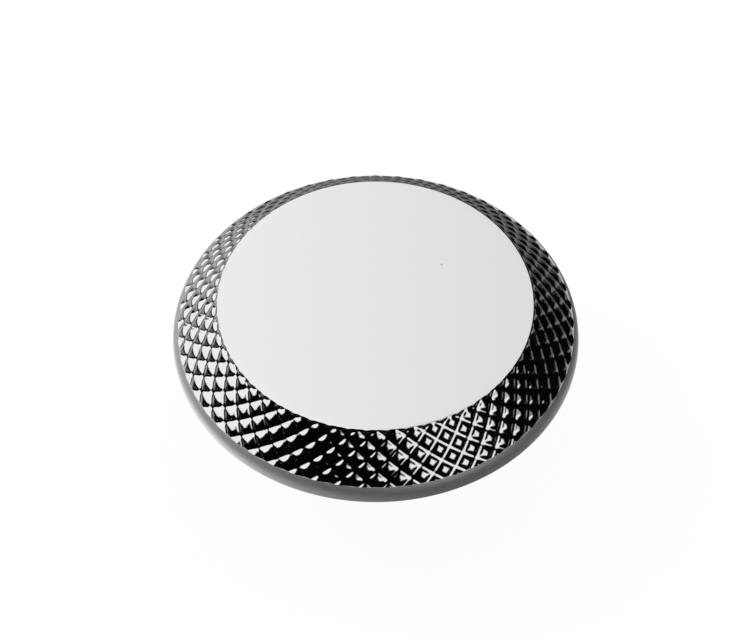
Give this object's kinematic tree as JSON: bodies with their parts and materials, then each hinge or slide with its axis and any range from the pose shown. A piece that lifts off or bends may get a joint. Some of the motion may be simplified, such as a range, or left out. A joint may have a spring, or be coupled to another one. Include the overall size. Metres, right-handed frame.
{
  "type": "cabinet knob",
  "caption": "Round disc cabinet knob with a flat polished face, a diamond-knurled bevel, a plain rounded rim, a waisted neck and a foot with a blind threaded hole",
  "frame": {"origin": "centre of the foot's flat base, which lies against the door or stands on a table", "axes": "+Z is the knob's own axis, from the base to the polished face"},
  "size_m": [0.041, 0.041, 0.022],
  "materials": {
    "polished_chrome": "mirror-polished chrome plate, with a satin rim band"
  },
  "bodies": {
    "root": {"knob_body": "polished_chrome"}
  },
  "joints": []
}
